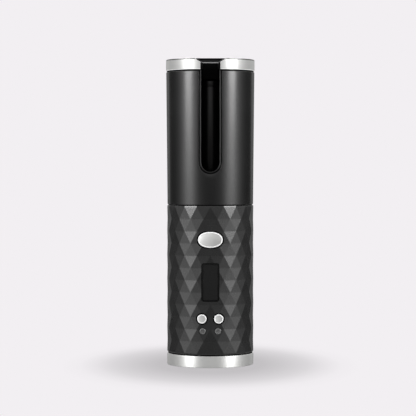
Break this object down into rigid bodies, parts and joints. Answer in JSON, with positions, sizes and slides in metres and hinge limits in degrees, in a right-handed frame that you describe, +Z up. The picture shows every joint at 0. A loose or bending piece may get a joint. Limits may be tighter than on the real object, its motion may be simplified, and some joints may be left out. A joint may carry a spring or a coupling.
{
  "type": "automatic hair curler",
  "caption": "Cordless automatic hair curler: slotted black barrel with a powered rotor round a heating barrel, faceted handle with display and silver buttons, silver end rings.",
  "frame": {"origin": "centre of the base ring's resting face", "axes": "+Z up along the curler's axis; -Y is the front, with the hair slot and the controls; +X to the right seen from the front"},
  "size_m": [0.0598, 0.0599, 0.2059],
  "materials": {
    "black_casing": "satin black",
    "barrel_black": "satin black, faint metallic sheen",
    "brushed_silver": "brushed, clear coated",
    "dark_plastic": "fine moulded grain",
    "black_ceramic": "black ceramic coating on aluminium",
    "window_glass": "smoked gloss",
    "lens_plastic": "grey translucent look, modelled opaque",
    "steel": "zinc plated",
    "aluminium": "plain",
    "bronze": "sintered",
    "gear_plastic": "natural acetal",
    "circuit_board": "green solder mask",
    "cell_wrap": "printed-free film over a cell can"
  },
  "bodies": {
    "housing": {"base_ring": "brushed_silver", "base_cap": "dark_plastic", "base_screw_left": "steel", "base_screw_right": "steel", "base_screw_rear": "steel", "usb_port": "steel", "charge_board": "circuit_board", "handle_shell": "black_casing", "chassis": "dark_plastic", "battery_left": "cell_wrap", "battery_right": "cell_wrap", "control_board": "circuit_board", "direction_switch_left": "dark_plastic", "direction_switch_right": "dark_plastic", "timer_switch": "dark_plastic", "temperature_switch": "dark_plastic", "indicator_lens_left": "lens_plastic", "indicator_lens_right": "lens_plastic", "indicator_led_left": "lens_plastic", "indicator_led_right": "lens_plastic", "display_module": "dark_plastic", "display_window": "window_glass", "control_frame": "dark_plastic", "rocker_pin": "steel", "drive_deck": "dark_plastic", "motor": "steel", "gearbox": "bronze", "motor_screw_left": "steel", "motor_screw_right": "steel", "thrust_ring": "aluminium", "home_switch": "dark_plastic", "barrel_base": "dark_plastic", "chamber_floor": "dark_plastic", "heating_barrel": "black_ceramic", "barrel_tip": "black_ceramic", "heater_spreader_front": "aluminium", "heater_spreader_rear": "aluminium", "ptc_element": "lens_plastic", "ntc_sensor": "lens_plastic", "thermal_fuse": "lens_plastic", "heater_lead_left": "dark_plastic", "heater_lead_right": "dark_plastic", "barrel_shell": "barrel_black", "chamber_liner": "dark_plastic", "top_ring": "brushed_silver"},
    "rotor": {"rotor_cap": "black_casing", "rotor_cage": "dark_plastic", "rotor_bush": "bronze", "ring_gear": "gear_plastic"},
    "pinion": {"drive_pinion": "bronze", "motor_shaft": "steel"},
    "rocker": {"direction_rocker": "brushed_silver"},
    "timer": {"timer_button": "brushed_silver"},
    "temperature": {"temperature_button": "brushed_silver"}
  },
  "joints": [
    {"name": "rotor_spin", "type": "hinge", "parent": "housing", "child": "rotor", "pos_m": [0, 0, 0.16], "axis": [0, 0, 1], "continuous": true},
    {"name": "pinion_spin", "type": "hinge", "parent": "housing", "child": "pinion", "pos_m": [0, 0.017, 0.115], "axis": [0, 0, 1], "continuous": true},
    {"name": "direction_tilt", "type": "hinge", "parent": "housing", "child": "rocker", "pos_m": [0, -0.0242, 0.0851], "axis": [0, 0, 1], "range_deg": [-4, 4]},
    {"name": "timer_press", "type": "slide", "parent": "housing", "child": "timer", "axis": [0, 1, 0], "range_m": [0, 0.0008]},
    {"name": "temperature_press", "type": "slide", "parent": "housing", "child": "temperature", "axis": [0, 1, 0], "range_m": [0, 0.0008]}
  ],
  "couplings": [
    {"joint": "pinion_spin", "follows": "rotor_spin", "ratio": 4.4}
  ]
}
